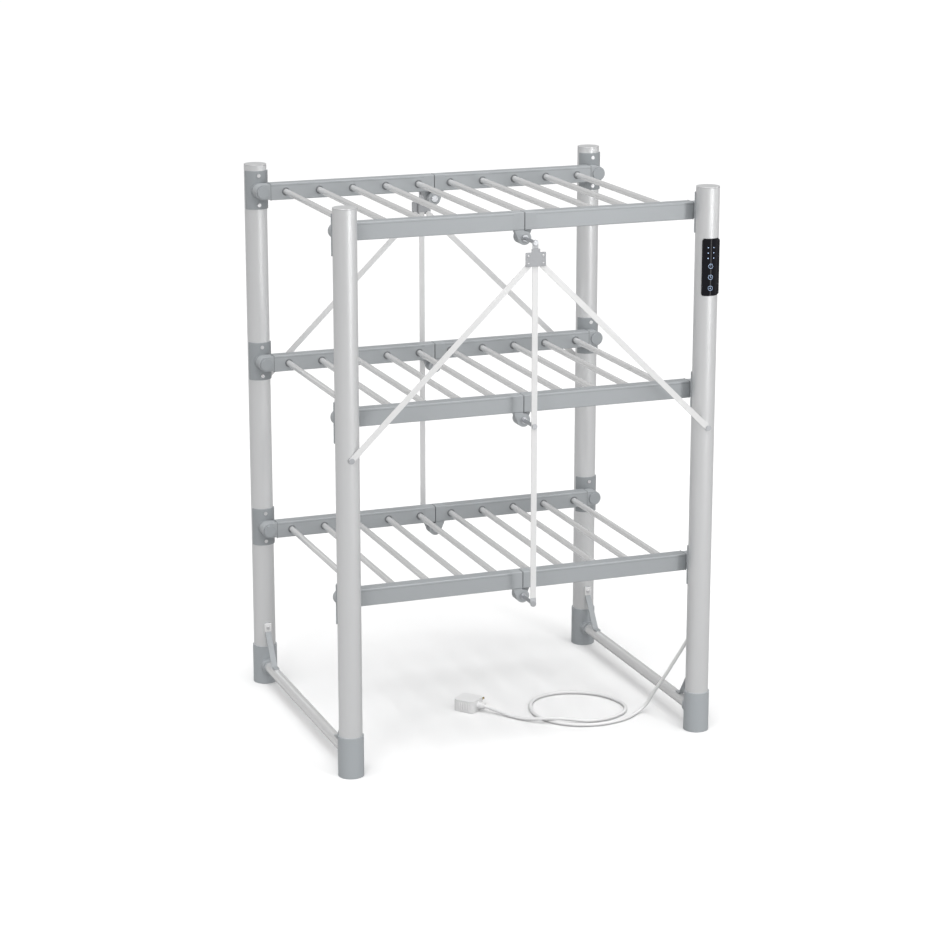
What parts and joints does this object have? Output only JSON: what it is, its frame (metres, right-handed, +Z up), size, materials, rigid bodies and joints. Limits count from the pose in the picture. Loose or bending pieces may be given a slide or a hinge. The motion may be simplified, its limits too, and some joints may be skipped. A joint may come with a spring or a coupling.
{
  "type": "folding heated clothes airer",
  "caption": "Free-standing tiered airer with electrically heated tubes; the shelves hinge in the middle so both side frames fold together, with a touch panel on a leg and a mains lead",
  "frame": {"origin": "on the floor under the middle of the open airer", "axes": "+Z up, +X along the width, -Y the front, where the panel and the lead's gland are"},
  "size_m": [0.652, 0.5388, 0.92],
  "materials": {
    "leg_aluminium": "satin anodised",
    "cap_grey": "fine matte",
    "foot_grey": "fine matte",
    "cross_tube_silver": "satin powder coat",
    "brace_grey": "satin powder coat",
    "bracket_grey": "fine matte",
    "screw_steel": "zinc plated",
    "pin_grey": "satin",
    "rivet_steel": "satin",
    "panel_black": "high gloss",
    "board_green": "solder resist",
    "gland_white": "matte",
    "lead_white": "satin",
    "plug_white": "satin",
    "plug_brass": "polished",
    "rail_grey": "satin powder coat",
    "tube_silver": "satin",
    "heater_red": "matte silicone",
    "moulding_grey": "fine matte",
    "pin_steel": "satin",
    "strap_white": "gloss powder coat",
    "runner_steel": "satin"
  },
  "bodies": {
    "right_frame": {"right_front_leg": "leg_aluminium", "right_back_leg": "leg_aluminium", "right_leg_caps": "cap_grey", "right_feet": "foot_grey", "right_cross_tube": "cross_tube_silver", "right_corner_braces": "brace_grey", "right_pivot_brackets": "bracket_grey", "right_bracket_screws": "screw_steel", "right_pivot_pins": "pin_grey", "right_stay_rivets": "rivet_steel", "control_panel": "panel_black", "control_board": "board_green", "lead_gland": "gland_white", "power_lead": "lead_white", "plug_body": "plug_white", "plug_pins": "plug_brass"},
    "left_frame": {"left_legs": "leg_aluminium", "left_leg_caps": "cap_grey", "left_feet": "foot_grey", "left_cross_tube": "cross_tube_silver", "left_corner_braces": "brace_grey", "left_pivot_brackets": "bracket_grey", "left_bracket_screws": "screw_steel", "left_pivot_pins": "pin_grey", "left_stay_rivets": "rivet_steel"},
    "front_strap": {"front_strap": "strap_white"},
    "back_strap": {"back_strap": "strap_white"},
    "front_runner": {"front_runner": "runner_steel"},
    "back_runner": {"back_runner": "runner_steel"},
    "top_right_shelf": {"top_right_rails": "rail_grey", "top_right_tubes": "tube_silver", "top_right_heaters": "heater_red", "top_right_hinge_ends": "moulding_grey", "top_centre_pins": "pin_steel"},
    "top_left_shelf": {"top_left_rails": "rail_grey", "top_left_tubes": "tube_silver", "top_left_heaters": "heater_red", "top_left_hinge_ends": "moulding_grey"},
    "middle_right_shelf": {"middle_right_rails": "rail_grey", "middle_right_tubes": "tube_silver", "middle_right_heaters": "heater_red", "middle_right_hinge_ends": "moulding_grey", "middle_centre_pins": "pin_steel"},
    "middle_left_shelf": {"middle_left_rails": "rail_grey", "middle_left_tubes": "tube_silver", "middle_left_heaters": "heater_red", "middle_left_hinge_ends": "moulding_grey"},
    "bottom_right_shelf": {"bottom_right_rails": "rail_grey", "bottom_right_tubes": "tube_silver", "bottom_right_heaters": "heater_red", "bottom_right_hinge_ends": "moulding_grey", "bottom_centre_pins": "pin_steel"},
    "bottom_left_shelf": {"bottom_left_rails": "rail_grey", "bottom_left_tubes": "tube_silver", "bottom_left_heaters": "heater_red", "bottom_left_hinge_ends": "moulding_grey"},
    "front_left_stay": {"front_left_stay": "strap_white"},
    "front_right_stay": {"front_right_stay": "strap_white"},
    "back_left_stay": {"back_left_stay": "strap_white"},
    "back_right_stay": {"back_right_stay": "strap_white"}
  },
  "joints": [
    {"name": "shelf_fold", "type": "hinge", "parent": "right_frame", "child": "top_right_shelf", "pos_m": [0.305, 0, 0.877], "axis": [0, 1, 0], "range_deg": [0, 84]},
    {"name": "middle_shelf_fold", "type": "hinge", "parent": "right_frame", "child": "middle_right_shelf", "pos_m": [0.305, 0, 0.582], "axis": [0, 1, 0], "range_deg": [0, 84]},
    {"name": "bottom_shelf_fold", "type": "hinge", "parent": "right_frame", "child": "bottom_right_shelf", "pos_m": [0.305, 0, 0.287], "axis": [0, 1, 0], "range_deg": [0, 84]},
    {"name": "top_knuckle", "type": "hinge", "parent": "top_right_shelf", "child": "top_left_shelf", "pos_m": [0, 0, 0.85], "axis": [0, 1, 0], "range_deg": [-168, 0]},
    {"name": "middle_knuckle", "type": "hinge", "parent": "middle_right_shelf", "child": "middle_left_shelf", "pos_m": [0, 0, 0.555], "axis": [0, 1, 0], "range_deg": [-168, 0]},
    {"name": "bottom_knuckle", "type": "hinge", "parent": "bottom_right_shelf", "child": "bottom_left_shelf", "pos_m": [0, 0, 0.26], "axis": [0, 1, 0], "range_deg": [-168, 0]},
    {"name": "left_frame_hinge", "type": "hinge", "parent": "top_left_shelf", "child": "left_frame", "pos_m": [-0.305, 0, 0.877], "axis": [0, 1, 0], "range_deg": [0, 84]},
    {"name": "front_strap_hinge", "type": "hinge", "parent": "top_right_shelf", "child": "front_strap", "pos_m": [0, 0, 0.85], "axis": [0, 1, 0], "range_deg": [-84, 0]},
    {"name": "back_strap_hinge", "type": "hinge", "parent": "top_right_shelf", "child": "back_strap", "pos_m": [0, 0, 0.85], "axis": [0, 1, 0], "range_deg": [-84, 0]},
    {"name": "front_runner_slide", "type": "slide", "parent": "front_strap", "child": "front_runner", "axis": [0, 0, -1], "range_m": [0, 0.2074]},
    {"name": "back_runner_slide", "type": "slide", "parent": "back_strap", "child": "back_runner", "axis": [0, 0, -1], "range_m": [0, 0.2074]},
    {"name": "front_right_stay_hinge", "type": "hinge", "parent": "right_frame", "child": "front_right_stay", "pos_m": [0.305, 0, 0.526], "axis": [0, 1, 0], "range_deg": [0, 39.1]},
    {"name": "front_left_stay_hinge", "type": "hinge", "parent": "left_frame", "child": "front_left_stay", "pos_m": [-0.305, 0, 0.526], "axis": [0, 1, 0], "range_deg": [-39.1, 0]},
    {"name": "back_right_stay_hinge", "type": "hinge", "parent": "right_frame", "child": "back_right_stay", "pos_m": [0.305, 0, 0.526], "axis": [0, 1, 0], "range_deg": [0, 39.1]},
    {"name": "back_left_stay_hinge", "type": "hinge", "parent": "left_frame", "child": "back_left_stay", "pos_m": [-0.305, 0, 0.526], "axis": [0, 1, 0], "range_deg": [-39.1, 0]}
  ],
  "couplings": [
    {"joint": "middle_shelf_fold", "follows": "shelf_fold", "ratio": 1},
    {"joint": "bottom_shelf_fold", "follows": "shelf_fold", "ratio": 1},
    {"joint": "top_knuckle", "follows": "shelf_fold", "ratio": -2},
    {"joint": "middle_knuckle", "follows": "shelf_fold", "ratio": -2},
    {"joint": "bottom_knuckle", "follows": "shelf_fold", "ratio": -2},
    {"joint": "left_frame_hinge", "follows": "shelf_fold", "ratio": 1},
    {"joint": "front_strap_hinge", "follows": "shelf_fold", "ratio": -1},
    {"joint": "back_strap_hinge", "follows": "shelf_fold", "ratio": -1},
    {"joint": "front_runner_slide", "follows": "shelf_fold", "m_per_rad": 0.14142},
    {"joint": "back_runner_slide", "follows": "shelf_fold", "m_per_rad": 0.14142},
    {"joint": "front_right_stay_hinge", "follows": "shelf_fold", "ratio": 0.4651},
    {"joint": "front_left_stay_hinge", "follows": "shelf_fold", "ratio": -0.4651},
    {"joint": "back_right_stay_hinge", "follows": "shelf_fold", "ratio": 0.4651},
    {"joint": "back_left_stay_hinge", "follows": "shelf_fold", "ratio": -0.4651}
  ]
}
